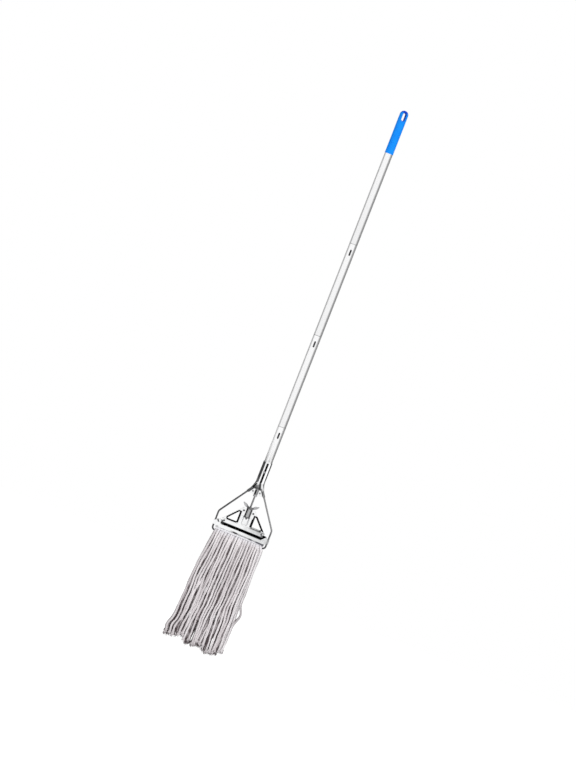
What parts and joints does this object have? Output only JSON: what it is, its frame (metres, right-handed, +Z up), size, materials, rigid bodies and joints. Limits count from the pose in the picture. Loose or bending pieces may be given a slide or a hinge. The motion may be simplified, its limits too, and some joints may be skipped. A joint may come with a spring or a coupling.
{
  "type": "cotton string mop",
  "caption": "Cotton string mop with a screw-clamp wire head, a yarn refill and a sectional aluminium pole with lock buttons and a hang-slot grip.",
  "frame": {"origin": "middle of the hang slot in the grip, on the pole's axis", "axes": "+Z up along the pole, X across the clamp and the yarn, -Y the front with the lock buttons and the nut strap"},
  "size_m": [0.1884, 0.0388, 1.673],
  "materials": {
    "grip_plastic": "bright blue moulded plastic, semi-gloss, ring grooves",
    "tube_aluminium": "satin anodised tube, drawn lengthwise",
    "plug_plastic": "dark grey moulded plastic",
    "button_plastic": "dark moulded plastic",
    "spring_steel": "bare spring steel",
    "fastener_steel": "zinc-plated steel",
    "clamp_chrome": "bright plated pressed steel",
    "wire_chrome": "dull plated wire",
    "screw_steel": "zinc-plated rolled thread",
    "wing_nut_zinc": "plated casting, slightly rough",
    "band_tape": "woven cotton tape, stitched",
    "cotton_yarn": "twisted cotton yarn with cut ends"
  },
  "bodies": {
    "mop_body": {"hand_grip": "grip_plastic", "upper_tube": "tube_aluminium", "second_tube": "tube_aluminium", "third_tube": "tube_aluminium", "lower_tube": "tube_aluminium", "joint_plug_1": "plug_plastic", "joint_plug_2": "plug_plastic", "joint_plug_3": "plug_plastic", "button_spring_1": "spring_steel", "button_spring_2": "spring_steel", "button_spring_3": "spring_steel", "plug_rivets": "fastener_steel", "socket_yoke": "clamp_chrome", "socket_screws": "fastener_steel", "yoke_rivets": "fastener_steel", "wire_bail": "wire_chrome", "threaded_rod": "screw_steel", "rod_top_nut": "fastener_steel", "rod_lock_nut": "fastener_steel", "headband": "band_tape", "yarn_front": "cotton_yarn", "yarn_back": "cotton_yarn"},
    "movable_jaw": {"jaw_plate": "clamp_chrome", "front_jaw": "clamp_chrome", "rear_jaw": "clamp_chrome", "jaw_rivets": "fastener_steel", "nut_strap": "clamp_chrome", "strap_rivets": "fastener_steel"},
    "turning_nut": {"wing_nut": "wing_nut_zinc", "thrust_washer": "fastener_steel", "retaining_ring": "spring_steel"},
    "button_1": {"snap_button_1": "button_plastic"},
    "button_2": {"snap_button_2": "button_plastic"},
    "button_3": {"snap_button_3": "button_plastic"}
  },
  "joints": [
    {"name": "jaw_slide", "type": "slide", "parent": "mop_body", "child": "movable_jaw", "axis": [0, 0, 1], "range_m": [0, 0.015]},
    {"name": "wing_nut_turn", "type": "hinge", "parent": "movable_jaw", "child": "turning_nut", "pos_m": [0, 0, -1.21], "axis": [0, 0, 1], "range_deg": [0, 5400]},
    {"name": "button_press_1", "type": "slide", "parent": "mop_body", "child": "button_1", "axis": [0, 1, 0], "range_m": [0, 0.0022], "stiffness_N_per_m": 900, "springref_m": -0.003, "deforming": ["button_spring_1"]},
    {"name": "button_press_2", "type": "slide", "parent": "mop_body", "child": "button_2", "axis": [0, 1, 0], "range_m": [0, 0.0022], "stiffness_N_per_m": 900, "springref_m": -0.003, "deforming": ["button_spring_2"]},
    {"name": "button_press_3", "type": "slide", "parent": "mop_body", "child": "button_3", "axis": [0, 1, 0], "range_m": [0, 0.0022], "stiffness_N_per_m": 900, "springref_m": -0.003, "deforming": ["button_spring_3"]}
  ],
  "couplings": [
    {"joint": "wing_nut_turn", "follows": "jaw_slide", "rad_per_m": 6283}
  ]
}
